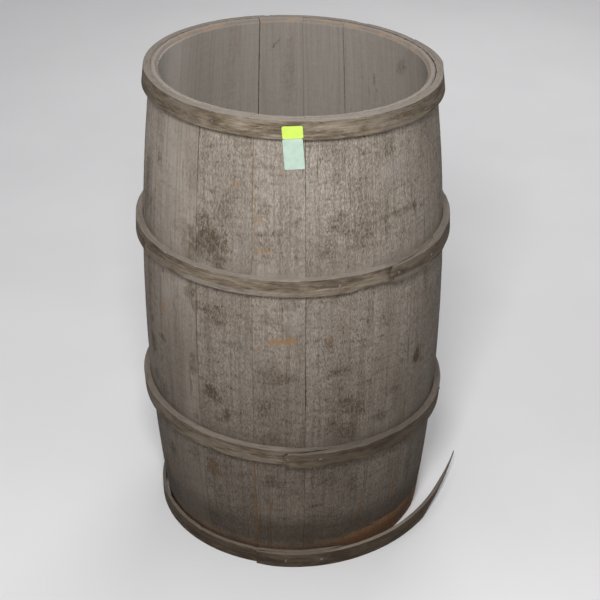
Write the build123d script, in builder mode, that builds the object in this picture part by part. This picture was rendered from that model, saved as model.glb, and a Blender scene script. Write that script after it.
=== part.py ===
"""Open-topped wooden barrel with bent wood hoops.

Millimetres. The origin is on the barrel's axis at floor level, +Z runs up the axis,
and angles are measured anticlockwise from +X as seen from above.
"""

import os
from math import atan2, cos, degrees, hypot, radians, sin, sqrt

from build123d import *

# ---- barrel body --------------------------------------------------------------
height = 726  # middle of the sawn rim; a standard slack barrel's staves are 28 1/2 in, 724 mm
rim_lean = (-0.0165, -0.0189)  # rise of the sawn rim along +X and along +Y
rim_radius = 200.6  # outside of the staves at the rim
bilge_radius = 226.2  # outside of the staves where they are widest
bilge_height = 352.0  # just below the middle, because the foot has lost its hoop and spread
stave_thickness = 12.7
rim_bevel = 5.0  # bevel along the inner edge of both ends
rim_allowance = 8.0  # length of the stave blanks above the middle of the sawn rim
seam_gap = 0.4  # open joint between neighbouring staves
first_seam = -111.0  # angle of the seam where stave 1 starts
stave_widths = (20, 22.5, 19, 25.5, 18, 21, 22, 21, 22, 22.5, 19, 20, 25.5, 18.5, 21.5, 21, 21)

# ---- bottom head --------------------------------------------------------------
croze_height = 24.0  # lower lip of the groove above the floor
croze_width = 4.4
croze_depth = 4.5
head_thickness = 11.0
head_edge = 4.0  # thickness of the tongue that sits in the groove
head_play = 0.5  # radial play of the tongue in the groove
head_bevel = 7.0  # run of the bevel behind the tongue
head_joints = (-99.0, -6.0, 95.0)  # where the boards meet, across the boards
head_joint_gap = 0.5

# ---- fixed hoops --------------------------------------------------------------
hoop_thickness = 9.5
hoop_width = 25.0
hoop_clearance = 0.15  # between a hoop and the staves
lap_tip = 2.4  # thickness left at both thinned ends of a lap
lap_gap = 0.2  # between the two layers of a lap
lap_ramp = 9.0  # degrees over which the outer layer climbs on to the inner one
tip_gap = 0.3  # degrees between the inner tip and the layer that climbs over it

# ---- loose bottom hoop --------------------------------------------------------
strip_thickness = 5.5
strip_width = 24.5
strip_centre = (2.0, -0.6)  # its curve isn't quite concentric with the barrel
strip_inner_radius = 209.2
strip_gap = 0.3  # between the two strips where they are lapped
long_strip_start = 74.0  # broken end behind the barrel
long_strip_end = 326.0  # inner end of the lap
short_strip_start = 291.0  # outer end of the lap
opening_bends = ((254, 29.3), (331, 15.4), (750, 8.4))  # radius, turn towards the free end
sliver_length = 130.0  # the free end is split away underneath to a sliver
sliver_height = 4.5  # what is left of its width at the tip

# ---- nails --------------------------------------------------------------------
nail_head_radius = 2.6
nail_head_thickness = 0.9
nail_radius = 0.9
nail_hole_radius = 1.0
nail_length = 20.0
nail_lift = 0.05  # under the nail's head
strip_nail_length = 11.6
strip_nail_angles = (303.0, 317.0)

# ---- paper tag ----------------------------------------------------------------
paper_thickness = 0.3
paper_clearance = 0.2
tag_angle = -54.2  # middle of both papers
sticker_top = 720.0
sticker_height = 19.0
sticker_width = 28.5
label_height = 47.0
label_width = 26.5
paper_gap = 0.3  # between the two papers

rim_plane = Plane(origin=(0, 0, height), z_dir=(-rim_lean[0], -rim_lean[1], 1))
swell = bilge_radius - rim_radius
curve_radius = ((height - bilge_height) ** 2 + swell**2) / (2 * swell)
curve_centre = bilge_radius - curve_radius


def outer_radius(z):
    """Outside radius of the staves at height z."""
    return curve_centre + sqrt(curve_radius**2 - (z - bilge_height) ** 2)


def inner_radius(z):
    """Inside radius of the staves at height z."""
    return curve_centre + sqrt((curve_radius - stave_thickness) ** 2 - (z - bilge_height) ** 2)


def outer_slope(z):
    """Change of the staves' outside radius for each millimetre of height."""
    return -(z - bilge_height) / sqrt(curve_radius**2 - (z - bilge_height) ** 2)


def spot(radius, angle):
    """Point of a plan view at a radius and an angle."""
    return (radius * cos(radians(angle)), radius * sin(radians(angle)))


def upright_plane(angle):
    """Vertical plane through the axis: its x runs outwards at the angle, its y runs up."""
    return Plane(
        origin=(0, 0, 0),
        x_dir=(cos(radians(angle)), sin(radians(angle)), 0),
        z_dir=(sin(radians(angle)), -cos(radians(angle)), 0),
    )


def write_step(piece, name):
    """Label a finished piece and write its file."""
    piece.part.label = name
    export_step(piece.part, f"parts/{name}.step")


class Hoop:
    """One nailed hoop: its place, its lean and the nails that hold it."""

    def __init__(self, name, top, lean, lap_end, lap_turn, hand, nail_angles):
        self.name = name
        self.top = top  # height of its upper edge at the axis
        self.lean = lean  # rise of the hoop along +X and along +Y
        self.lap_end = lap_end  # angle of the outer end of the lap
        self.lap_turn = lap_turn  # degrees of overlap
        self.hand = hand  # 1 if the strip winds clockwise from its inner tip, -1 if anticlockwise
        self.nail_angles = nail_angles
        self.middle = top - hoop_width / 2
        self.clearance = hoop_clearance + bilge_radius * hypot(*lean) ** 2 / 2

    def centre(self, z):
        """Centre of the hoop at the level z: a leaning ring sits off the axis of a bowed barrel."""
        shift = outer_slope(z) * outer_radius(z)
        return (shift * self.lean[0], shift * self.lean[1])

    def plane(self, z):
        """Level of the leaning hoop that crosses the axis at height z."""
        return Plane(
            origin=(*self.centre(z), z),
            x_dir=(1, 0, self.lean[0]),
            z_dir=(-self.lean[0], -self.lean[1], 1),
        )

    def inside(self, z):
        """Inside radius of the hoop at the level z."""
        return outer_radius(z) + self.clearance

    def nail_planes(self):
        """Planes on the hoop's face under each nail's head, facing outwards."""
        planes = []
        for angle in self.nail_angles:
            lapped = self.hand * (angle - self.lap_end) % 360 < self.lap_turn
            skin = hoop_thickness + nail_lift
            if lapped:
                skin += lap_tip + lap_gap
            along_x, along_y = spot(self.inside(self.middle) + skin, angle)
            along_x += self.centre(self.middle)[0]
            along_y += self.centre(self.middle)[1]
            z = self.middle + along_x * self.lean[0] + along_y * self.lean[1]
            facing = (cos(radians(angle)), sin(radians(angle)), -outer_slope(self.middle))
            planes.append(Plane(origin=(along_x, along_y, z), z_dir=facing))
        return planes


hoops = (
    Hoop("top_chime_hoop", 725.3, rim_lean, 71.0, 28.0, -1, (-150, -84, -14, 50, 64, 118, 170)),
    Hoop("upper_quarter_hoop", 504.6, (0, 0), -20.0, 28.0, 1, (-118, -38, -15.5, 2, 84, 168)),
    Hoop("lower_quarter_hoop", 225.5, (-0.036, -0.02), -58.0, 30.0, 1, (-131, -55.6, -44, 27, 110, 178)),
)
hoop_nail_planes = [plane for hoop in hoops for plane in hoop.nail_planes()]

os.makedirs("parts", exist_ok=True)


# ---- staves -------------------------------------------------------------------
def make_stave(name, start, width):
    """One stave: a bowed board with radial edges, from the start angle through its width."""
    joint = degrees(seam_gap / rim_radius)
    groove_top = croze_height + croze_width
    blank = height + rim_allowance
    with BuildPart() as stave:
        with BuildSketch(upright_plane(start + joint / 2)):
            with BuildLine():
                ThreePointArc(
                    (outer_radius(0), 0),
                    (bilge_radius, bilge_height),
                    (outer_radius(blank), blank),
                )
                Line((outer_radius(blank), blank), (inner_radius(blank), blank))
                ThreePointArc(
                    (inner_radius(blank), blank),
                    (bilge_radius - stave_thickness, bilge_height),
                    (inner_radius(groove_top), groove_top),
                )
                Polyline(
                    (inner_radius(groove_top), groove_top),
                    (inner_radius(groove_top) + croze_depth, groove_top),
                    (inner_radius(groove_top) + croze_depth, croze_height),
                    (inner_radius(croze_height), croze_height),
                    (inner_radius(rim_bevel), rim_bevel),
                    (inner_radius(0) + rim_bevel, 0),
                    (outer_radius(0), 0),
                )
            make_face()
        revolve(axis=Axis.Z, revolution_arc=width - joint)
        split(bisect_by=rim_plane, keep=Keep.BOTTOM)
        rim_edges = stave.faces().sort_by(Axis.Z)[-1].edges()
        chamfer(rim_edges.sort_by(lambda edge: hypot(edge.center().X, edge.center().Y))[0], rim_bevel)
        middle = start + width / 2
        for plane in hoop_nail_planes:
            angle = degrees(atan2(plane.origin.Y, plane.origin.X))
            offset = (angle - middle + 180) % 360 - 180
            if abs(offset) < width / 2:
                with BuildSketch(plane):
                    Circle(nail_hole_radius)
                extrude(amount=-(nail_length + nail_lift + hoop_clearance), mode=Mode.SUBTRACT)
    write_step(stave, name)


seam = first_seam
for number, width in enumerate(stave_widths, start=1):
    make_stave(f"stave_{number:02d}", seam, width)
    seam += width


# ---- bottom head --------------------------------------------------------------
lip_radius = inner_radius(croze_height) - head_play
tongue_radius = inner_radius(croze_height) + croze_depth - head_play
tongue_bottom = croze_height + (croze_width - head_edge) / 2
tongue_top = tongue_bottom + head_edge
head_bottom = tongue_bottom + (head_edge - head_thickness) / 2
head_top = head_bottom + head_thickness


def make_head_board(name, low, high):
    """One board of the head, between two straight joints across the disc."""
    with BuildPart() as board:
        with BuildSketch(Plane.XZ):
            Polygon(
                (0, head_bottom),
                (lip_radius - head_bevel, head_bottom),
                (lip_radius, tongue_bottom),
                (tongue_radius, tongue_bottom),
                (tongue_radius, tongue_top),
                (lip_radius, tongue_top),
                (lip_radius - head_bevel, head_top),
                (0, head_top),
                align=None,
            )
        revolve(axis=Axis.Z)
        with BuildSketch(mode=Mode.PRIVATE) as strip:
            with Locations(((low + high) / 2, 0)):
                Rectangle(high - low, 2 * bilge_radius)
        extrude(strip.sketch, amount=height, mode=Mode.INTERSECT)
    write_step(board, name)


head_edges = (-bilge_radius, *head_joints, bilge_radius)
for number, (low, high) in enumerate(zip(head_edges, head_edges[1:]), start=1):
    make_head_board(f"head_board_{number}", low + head_joint_gap / 2, high - head_joint_gap / 2)


# ---- fixed hoops --------------------------------------------------------------
def hoop_outline(inside, hoop):
    """Plan of a lapped strip. It winds round from its inner tip and climbs over it."""
    tip = inside + lap_tip
    face = inside + hoop_thickness
    lap_face = face + lap_gap + lap_tip
    over_tip = 360 - tip_gap
    ramp_start = 360 - lap_ramp
    outer_end = 360 + hoop.lap_turn - tip_gap

    def at(radius, turn):
        """Point at a turn, in degrees, along the strip from its inner tip."""
        return spot(radius, hoop.lap_end + hoop.hand * (hoop.lap_turn - turn))

    Line(at(inside, 0), at(tip, 0))
    ThreePointArc(at(tip, 0), at((tip + face) / 2, hoop.lap_turn / 2), at(face, hoop.lap_turn))
    ThreePointArc(at(face, hoop.lap_turn), at(face, 180), at(face, ramp_start))
    ThreePointArc(
        at(face, ramp_start),
        at((face + lap_face) / 2, (ramp_start + over_tip) / 2),
        at(lap_face, over_tip),
    )
    ThreePointArc(
        at(lap_face, over_tip),
        at(lap_face, (over_tip + outer_end) / 2),
        at(lap_face, outer_end),
    )
    Line(at(lap_face, outer_end), at(face + lap_gap, outer_end))
    ThreePointArc(
        at(face + lap_gap, outer_end),
        at((tip + face) / 2 + lap_gap, (over_tip + outer_end) / 2),
        at(tip + lap_gap, over_tip),
    )
    Line(at(tip + lap_gap, over_tip), at(inside, over_tip))
    ThreePointArc(at(inside, over_tip), at(inside, 180), at(inside, 0))


def make_hoop(hoop):
    """One hoop, coned to the staves, with a hole for each of its nails."""
    with BuildPart() as ring:
        for z in (hoop.top - hoop_width, hoop.top):
            with BuildSketch(hoop.plane(z)):
                with BuildLine():
                    hoop_outline(hoop.inside(z), hoop)
                make_face()
        loft(ruled=True)
        for plane in hoop.nail_planes():
            with BuildSketch(plane):
                Circle(nail_hole_radius)
            extrude(amount=-nail_length, mode=Mode.SUBTRACT)
    write_step(ring, hoop.name)


def make_nails(name, planes, length):
    """A group of wire nails with flat heads, one on each plane."""
    with BuildPart() as nails:
        for plane in planes:
            with BuildSketch(plane):
                Circle(nail_head_radius)
            extrude(amount=nail_head_thickness)
            with BuildSketch(plane):
                Circle(nail_radius)
            extrude(amount=-length)
    write_step(nails, name)


for hoop in hoops:
    make_hoop(hoop)
    make_nails(f"{hoop.name}_nails", hoop.nail_planes(), nail_length)


# ---- loose bottom hoop --------------------------------------------------------
strip_face = strip_inner_radius + strip_thickness
outer_strip_radius = strip_face + strip_gap + strip_thickness / 2


def strip_spot(radius, angle):
    """Point of the loose hoop's plan, measured from the centre of its curve."""
    along_x, along_y = spot(radius, angle)
    return (strip_centre[0] + along_x, strip_centre[1] + along_y)


def strip_nail_planes():
    """Planes on the outer strip's face under each nail's head."""
    planes = []
    for angle in strip_nail_angles:
        along_x, along_y = strip_spot(outer_strip_radius + strip_thickness / 2 + nail_lift, angle)
        facing = (cos(radians(angle)), sin(radians(angle)), 0)
        planes.append(Plane(origin=(along_x, along_y, strip_width / 2), z_dir=facing))
    return planes


def make_strip(name, path, underside=None):
    """Sweep the upright section of the strip along its plan, split it and drill it for the nails."""
    with BuildPart() as strip:
        with BuildSketch(Plane(origin=path @ 0, x_dir=(0, 0, 1), z_dir=path % 0)):
            with Locations((strip_width / 2, 0)):
                Rectangle(strip_width, strip_thickness)
        sweep(path=path)
        if underside:
            split(bisect_by=underside, keep=Keep.TOP)
        for plane in strip_nail_planes():
            with BuildSketch(plane):
                Circle(nail_hole_radius)
            extrude(amount=-strip_nail_length, mode=Mode.SUBTRACT)
    write_step(strip, name)


with BuildLine() as long_path:
    long_radius = strip_inner_radius + strip_thickness / 2
    CenterArc(strip_centre, long_radius, long_strip_start, long_strip_end - long_strip_start)
make_strip("bottom_hoop_long_strip", long_path.line)

with BuildLine() as short_path:
    lap_turn = long_strip_end - short_strip_start
    bend = CenterArc(strip_centre, outer_strip_radius, short_strip_start, lap_turn)
    for bend_radius, turn in opening_bends:
        bend = JernArc(bend @ 1, bend % 1, bend_radius, turn)
tip = bend @ 1
outwards = bend % 1
sliver_rise = (strip_width - sliver_height) / sliver_length
split_plane = Plane(
    origin=(tip.X, tip.Y, strip_width - sliver_height),
    z_dir=(-sliver_rise * outwards.X, -sliver_rise * outwards.Y, 1),
)
make_strip("bottom_hoop_short_strip", short_path.line, split_plane)

make_nails("bottom_hoop_nails", strip_nail_planes(), strip_nail_length)


# ---- paper tag ----------------------------------------------------------------
def make_paper(name, top, bottom, wide):
    """A sheet of paper bent round the barrel between two (radius, height) points of its back."""
    turn = degrees(wide / top[0])
    with BuildPart() as paper:
        with BuildSketch(upright_plane(tag_angle - turn / 2)):
            with BuildLine():
                Polyline(
                    top,
                    bottom,
                    (bottom[0] + paper_thickness, bottom[1]),
                    (top[0] + paper_thickness, top[1]),
                    close=True,
                )
            make_face()
        revolve(axis=Axis.Z, revolution_arc=turn)
    write_step(paper, name)


def hoop_face(z):
    """Radius just clear of the top hoop's face at height z, at the tag."""
    return hoops[0].inside(z) + hoop_thickness + paper_clearance


sticker_bottom = sticker_top - sticker_height
label_top = sticker_bottom - paper_gap
label_bottom = label_top - label_height
label_foot = outer_radius(label_bottom) + paper_clearance
make_paper(
    "price_sticker",
    (hoop_face(sticker_top), sticker_top),
    (hoop_face(sticker_bottom), sticker_bottom),
    sticker_width,
)
make_paper("paper_label", (hoop_face(label_top), label_top), (label_foot, label_bottom), label_width)
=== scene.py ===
"""Looks of an old open-topped wooden barrel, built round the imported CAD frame.

Metres, +Z up, the frame's own origin on the barrel's axis at floor level. Angles round the
barrel run anticlockwise from +X as seen from above. A bearing is an angle from the side of the
barrel that faces the camera, positive to the camera's right. Tables give both in degrees.
"""

import math
from functools import partialmethod

import bpy
import numpy as np
from mathutils import Matrix, Vector


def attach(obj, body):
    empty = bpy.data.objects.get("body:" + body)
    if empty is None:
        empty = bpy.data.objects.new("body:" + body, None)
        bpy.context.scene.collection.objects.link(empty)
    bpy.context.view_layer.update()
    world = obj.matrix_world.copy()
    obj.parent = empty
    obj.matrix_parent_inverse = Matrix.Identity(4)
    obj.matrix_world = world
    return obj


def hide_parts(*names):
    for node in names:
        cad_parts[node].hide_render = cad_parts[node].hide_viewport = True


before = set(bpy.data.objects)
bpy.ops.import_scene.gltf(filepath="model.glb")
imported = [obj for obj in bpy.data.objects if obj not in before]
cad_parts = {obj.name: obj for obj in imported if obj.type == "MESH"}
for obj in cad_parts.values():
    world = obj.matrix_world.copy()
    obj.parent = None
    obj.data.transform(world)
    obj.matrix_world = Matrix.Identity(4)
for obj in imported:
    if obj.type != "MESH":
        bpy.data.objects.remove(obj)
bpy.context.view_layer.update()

# ---- sizes, those of the CAD unless a comment says otherwise ----
HEIGHT = 0.726
RIM_LEAN = (-0.0165, -0.0189)  # rise of the sawn rim along +X and along +Y
RIM_RADIUS = 0.2006
BILGE_RADIUS = 0.2262
BILGE_HEIGHT = 0.352
STAVE_THICKNESS = 0.0127
STAVE_WIDTHS = (20, 22.5, 19, 25.5, 18, 21, 22, 21, 22, 22.5, 19, 20, 25.5, 18.5, 21.5, 21, 21)
FIRST_SEAM = -111.0
SEAM_GAP = 0.00008  # at the rim; 0.4 mm in the CAD
RIM_BEVEL = 0.005
CROZE_HEIGHT = 0.024
CROZE_WIDTH = 0.0044
CROZE_DEPTH = 0.0045
HEAD_THICKNESS = 0.011
HEAD_EDGE = 0.004
HEAD_PLAY = 0.0005
HEAD_BEVEL = 0.007
HEAD_JOINTS = (-0.099, -0.006, 0.095)
HEAD_JOINT_GAP = 0.0005

HOOP_THICKNESS = 0.0095
HOOP_WIDTH = 0.025
HOOP_CLEARANCE = 0.00015
LAP_TIP = 0.0024  # thickness of a tapered lap's end
LAP_GAP = 0.0002
LAP_RAMP = 9.0  # turn in which the strip climbs on to its own inner end
TIP_GAP = 0.3

STRIP_THICKNESS = 0.0055
STRIP_WIDTH = 0.0245
STRIP_CENTRE = (0.002, -0.0006)
STRIP_INNER_RADIUS = 0.2092
STRIP_GAP = 0.0003
LONG_STRIP_START = 74.0
LONG_STRIP_END = 326.0
SHORT_STRIP_START = 291.0
OPENING_BENDS = ((0.254, 29.3), (0.331, 15.4), (0.750, 8.4))  # radius and turn
SLIVER_LENGTH = 0.160  # 130 mm in the CAD
SLIVER_HEIGHT = 0.0045

NAIL_HEAD_RADIUS = 0.0026
NAIL_HEAD_THICKNESS = 0.0009
NAIL_RADIUS = 0.0009
NAIL_LENGTH = 0.020
NAIL_LIFT = 0.00005
STRIP_NAIL_LENGTH = 0.0116
STRIP_NAIL_ANGLES = (303.0, 317.0)

PAPER_THICKNESS = 0.00018  # 0.3 mm in the CAD
PAPER_CLEARANCE = 0.0002
PAPER_GAP = 0.0003
PAPER_LEAN = 4.2  # of their sides; none in the CAD
PAPER_SLOPE = 2.5  # of their ends; none in the CAD
TAG_ANGLE = -54.2
STICKER_TOP = 0.720
STICKER_HEIGHT = 0.0165  # 19 mm in the CAD
STICKER_WIDTH = 0.0270  # 28.5 mm in the CAD
LABEL_HEIGHT = 0.0447  # 47 mm in the CAD
LABEL_WIDTH = 0.0265
HOOP_LOW_AT_TAG = 0.7005  # height of the top hoop's lower edge at the tag

CAMERA_SIDE = -54.0  # angle of the side that faces the camera

swell = BILGE_RADIUS - RIM_RADIUS
curve_radius = ((HEIGHT - BILGE_HEIGHT) ** 2 + swell**2) / (2 * swell)
curve_centre = BILGE_RADIUS - curve_radius


def outer_radius(z):
    """Outside radius of the staves at height z."""
    return curve_centre + np.sqrt(curve_radius**2 - (z - BILGE_HEIGHT) ** 2)


def inner_radius(z):
    """Inside radius of the staves at height z."""
    return curve_centre + np.sqrt((curve_radius - STAVE_THICKNESS) ** 2 - (z - BILGE_HEIGHT) ** 2)


def outer_slope(z):
    """Change of the outside radius for each metre of height."""
    return -(z - BILGE_HEIGHT) / np.sqrt(curve_radius**2 - (z - BILGE_HEIGHT) ** 2)


def bearing(angle):
    """Bearing in degrees, from -180 to 180, of an angle in radians."""
    return (np.degrees(angle) - CAMERA_SIDE + 180) % 360 - 180


# ---- repeatable noise and profiles ----
# Where a place is divided by a number on its way into noise, that is the size of the features.
def lattice(i, j, k, seed):
    """One value from 0 to 1 for each whole-numbered point."""
    n = (i * 374761393 + j * 668265263 + k * 1440662683 + seed * 1274126177) & 0xFFFFFFFF
    n = ((n ^ (n >> 13)) * 1274126177) & 0xFFFFFFFF
    return ((n ^ (n >> 16)) & 0xFFFF) / 65535.0


def noise(x, y, z=0.0, seed=0):
    """Smooth noise from -1 to 1 whose features are about one unit wide."""
    x, y, z = np.broadcast_arrays(*(np.asarray(c, float) for c in (x, y, z)))
    i, j, k = (np.floor(c).astype(np.int64) for c in (x, y, z))
    u, v, w = (c - np.floor(c) for c in (x, y, z))
    u, v, w = (c * c * (3 - 2 * c) for c in (u, v, w))
    total = 0.0
    for di, wi in ((0, 1 - u), (1, u)):
        for dj, wj in ((0, 1 - v), (1, v)):
            for dk, wk in ((0, 1 - w), (1, w)):
                total = total + lattice(i + di, j + dj, k + dk, seed) * wi * wj * wk
    return total * 2 - 1


def layered(x, y, z=0.0, seed=0, layers=3):
    """Noise with finer and weaker noise laid over it."""
    total = 0.0
    for layer in range(layers):
        total = total + noise(x * 2**layer, y * 2**layer, z * 2**layer, seed + layer) / 2**layer
    return total / (2 - 0.5 ** (layers - 1))


def ease(x, low, high):
    """0 below low, 1 above high, and smooth between."""
    t = np.clip((x - low) / (high - low), 0, 1)
    return t * t * (3 - 2 * t)


def arris(distance, radius):
    """How far a rounded corner of a board falls away at a distance from its edge."""
    near = np.clip(distance, 0, radius)
    return radius - np.sqrt(np.maximum(radius**2 - (radius - near) ** 2, 0))


def steps(length, spacing, edge):
    """Positions along a length: those in edge at both ends, and evenly spaced between."""
    edge = np.array(edge)
    count = max(int((length - 2 * edge[-1]) / spacing), 2)
    middle = np.linspace(edge[-1], length - edge[-1], count + 1)
    return np.concatenate([edge[:-1], middle, (length - edge[:-1])[::-1]])


def triple(*values):
    """Three values at each point as one vector; a plain number is the same everywhere."""
    return np.stack(np.broadcast_arrays(*values), -1)


# ---- marks on the staves ----
# Bearing, share of the height, half width and half height in millimetres, strength, and for a
# few the slope (rise per metre). Stains, knots, cracks and gaps are dark; dust and chips are pale.
OUTER_DARK = (
    (-60, 0.868, 7, 9, 0.6), (-71, 0.8, 10, 50, 0.6), (-74, 0.74, 10, 20, 0.5), (-40, 0.865, 14, 30, 0.3),
    (-37, 0.9, 1, 50, 0.9), (-37.2, 0.56, 1, 80, 0.6), (-37.4, 0.47, 1, 100, 0.35), (-31.5, 0.745, 22, 24, 1),
    (-27.5, 0.718, 12, 14, 0.8), (-34.5, 0.722, 12, 10, 0.8), (-40.5, 0.69, 9, 26, 0.6),
    (-43, 0.735, 8, 30, 0.5), (-66.5, 0.7, 3, 120, 0.6), (-63, 0.64, 2, 90, 0.5), (-69, 0.56, 4, 110, 0.6),
    (-48.5, 0.56, 5, 100, 0.3), (-53, 0.33, 5, 70, 0.4), (-33, 0.782, 14, 20, 0.7),
    (-25.5, 0.735, 9, 22, 0.6), (-38.5, 0.742, 10, 6, 0.8, -0.5), (-39, 0.724, 12, 5, 0.85, -0.4),
    (-40, 0.758, 10, 5, 0.5, -0.4), (-26, 0.815, 16, 26, 0.4, 0.3), (-10.5, 0.828, 12, 12, 0.45),
    (-9, 0.77, 18, 20, 0.25), (16, 0.8, 16, 16, 0.35), (24, 0.775, 26, 26, 0.35), (13, 0.745, 12, 20, 0.35),
    (38, 0.92, 14, 12, 0.55), (36, 0.782, 5, 26, 0.5), (44, 0.789, 26, 6, 0.45), (50.6, 0.785, 5, 8, 1),
    (55, 0.778, 8, 4, 0.6), (60, 0.925, 10, 10, 0.35), (-39, 0.63, 12, 16, 0.65),
    (-37.5, 0.603, 10, 10, 0.55), (-29, 0.595, 22, 14, 0.5), (-67.5, 0.497, 8, 7, 0.75),
    (-67.5, 0.44, 13, 18, 0.8), (-58, 0.48, 10, 6, 0.7), (-59, 0.43, 6, 25, 0.35), (-39.4, 0.46, 7, 22, 0.6),
    (-31, 0.412, 14, 13, 0.9, -0.5), (-27.5, 0.402, 8, 8, 0.65), (-33.5, 0.425, 5, 6, 0.6),
    (-25, 0.367, 6, 9, 0.85), (-60, 0.35, 16, 16, 0.45), (-66, 0.365, 10, 12, 0.45),
    (-39.5, 0.338, 6, 6, 0.55), (-8, 0.6, 14, 10, 0.3), (-6, 0.478, 32, 10, 0.4), (-6, 0.462, 36, 1.8, 0.5),
    (-11, 0.4, 10, 12, 0.35), (-9, 0.325, 22, 12, 0.45), (4.6, 0.432, 1.4, 22, 1, 0.02),
    (4.5, 0.47, 1, 20, 0.8), (4.5, 0.62, 1, 30, 0.6), (13, 0.55, 8, 12, 0.45), (17, 0.482, 18, 6, 0.65),
    (20, 0.408, 16, 10, 0.7), (23, 0.385, 16, 14, 0.6), (15, 0.36, 10, 16, 0.5), (21, 0.335, 22, 16, 0.6),
    (35, 0.575, 14, 16, 0.3), (40, 0.4, 20, 6, 0.4), (35, 0.345, 14, 10, 0.45), (53, 0.447, 8.5, 14, 1.3),
    (53.6, 0.443, 5, 8, 1.6), (58, 0.61, 6, 20, 0.45), (-33, 0.22, 14, 18, 0.4), (-42, 0.235, 14, 14, 0.45),
    (-58, 0.2, 12, 16, 0.6), (-68, 0.11, 12, 30, 0.7), (-8, 0.215, 20, 12, 0.45), (13, 0.222, 14, 14, 0.4),
    (24, 0.2, 12, 20, 0.35), (55, 0.17, 10, 40, 0.4),
)
OUTER_RUST = (
    (-32.5, 0.22, 14, 16, 0.3), (-61, 0.14, 16, 16, 0.35), (-4.2, 0.557, 21, 5, 1, 0.12),
    (-8, 0.555, 8, 4, 1, 0.1), (-0.5, 0.56, 6, 5.5, 1, 0.1), (-12.5, 0.54, 7, 4, 0.45, 0.3),
    (-56.2, 0.558, 8, 9, 0.6), (-59.4, 0.808, 6, 10, 0.4), (-21, 0.87, 4, 6, 0.5), (-10, 0.745, 14, 4, 0.4),
    (13, 0.555, 5, 8, 0.35), (67, 0.48, 8, 10, 0.5), (50, 0.322, 12, 4, 0.4), (61, 0.335, 10, 5, 0.4),
    (-13.8, 0.84, 1, 120, 0.3), (-12.5, 0.805, 8, 10, 0.25), (-14.9, 0.125, 2.3, 62, 1.2),
    (-14.9, 0.24, 1.4, 60, 0.8), (-9, 0.137, 14, 2.2, 0.9), (-7.5, 0.093, 9, 1.8, 0.6),
    (-8.5, 0.16, 12, 1.6, 0.45, 0.1), (28.6, 0.09, 1.8, 50, 0.8), (46, 0.13, 2, 60, 0.8),
)
OUTER_PALE = (
    (-53, 0.598, 17, 12, 0.95), (-18, 0.78, 18, 60, 0.35), (-17, 0.48, 14, 70, 0.4), (0, 0.88, 18, 20, 0.4),
    (0.5, 0.61, 16, 28, 0.45), (6.5, 0.8, 7, 80, 0.4), (6.5, 0.43, 6, 100, 0.45), (40, 0.88, 24, 16, 0.6),
    (31.5, 0.42, 6, 60, 0.35), (-48, 0.87, 20, 60, 0.3), (10, 0.59, 14, 30, 0.35),
)
INNER_DARK = (
    (188.9, 0.936, 2.2, 2.2, 1), (187.8, 0.943, 7, 1.6, 0.8, -0.9), (147.9, 0.88, 1.7, 1.8, 1),
    (141.2, 0.882, 0.9, 13, 0.8), (138.5, 0.85, 10, 1, 0.9, 1.1), (124, 0.935, 13, 11, 0.45, -0.5),
    (126.5, 0.925, 5, 5, 0.4, -0.5), (156.5, 0.9, 0.7, 120, 0.5), (195.4, 0.9, 0.9, 120, 0.7),
    (182, 0.88, 9, 60, 0.22), (209, 0.9, 10, 80, 0.16),
)
INNER_RUST = ((193.3, 0.988, 8, 3, 0.55), (131, 0.99, 22, 2, 0.6),)
INNER_PALE = ((220.8, 0.985, 1.6, 8, 1),)
OUTER_MARKS = (OUTER_DARK, OUTER_RUST, OUTER_PALE)
INNER_MARKS = (INNER_DARK, INNER_RUST, INNER_PALE)
MM = 0.001


def paint(channels, side, z, radius, seed):
    """Strengths of dark, rust and pale marks at points given by bearing and height."""
    wander = layered(side * 0.35, z * 150, seed=seed)
    fray = layered(side * 1.2, z * 400, seed=seed + 5)
    strengths = []
    for spots in channels:
        total = 0 * wander
        for centre, share, half_width, half_height, strength, *slope in spots:
            across = np.radians((side - centre + 180) % 360 - 180) * radius
            along = z - share * HEIGHT - sum(slope) * across
            far = np.hypot(across / (half_width * MM), along / (half_height * MM))
            far = far + 0.55 * wander + 0.40 * fray
            total = np.maximum(total, strength * (1 - ease(far, 0.45, 1.35)))
        strengths.append(total)
    return triple(*strengths)


# ---- mesh making ----
def add_piece(name, points, faces, values, body, replaced, material, sharp=40.0):
    """One finished piece: its mesh, its shading values at each point, and its place in the frame."""
    mesh = bpy.data.meshes.new(name)
    mesh.from_pydata(points.reshape(-1, 3).tolist(), [], faces)
    mesh.update()
    for label, value in values.items():
        layer = mesh.attributes.new(label, "FLOAT_VECTOR", "POINT")
        layer.data.foreach_set("vector", np.asarray(value, np.float32).reshape(-1))
    mesh.shade_smooth()
    mesh.set_sharp_from_angle(angle=math.radians(sharp))
    mesh.materials.append(material)
    piece = bpy.data.objects.new(name, mesh)
    bpy.context.scene.collection.objects.link(piece)
    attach(piece, body)
    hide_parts(replaced)


def tube_faces(rows, loop, caps):
    """Quads of a closed section carried along rows, and the caps as lists of section points."""
    row, col = np.meshgrid(np.arange(rows - 1), np.arange(loop), indexing="ij")
    here, ahead = row * loop + col, row * loop + (col + 1) % loop
    quads = np.stack([here, ahead, ahead + loop, here + loop], -1).reshape(-1, 4).tolist()
    last = (rows - 1) * loop
    return quads + [[last + i for i in cap] for cap in caps] + [cap[::-1] for cap in caps]


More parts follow.
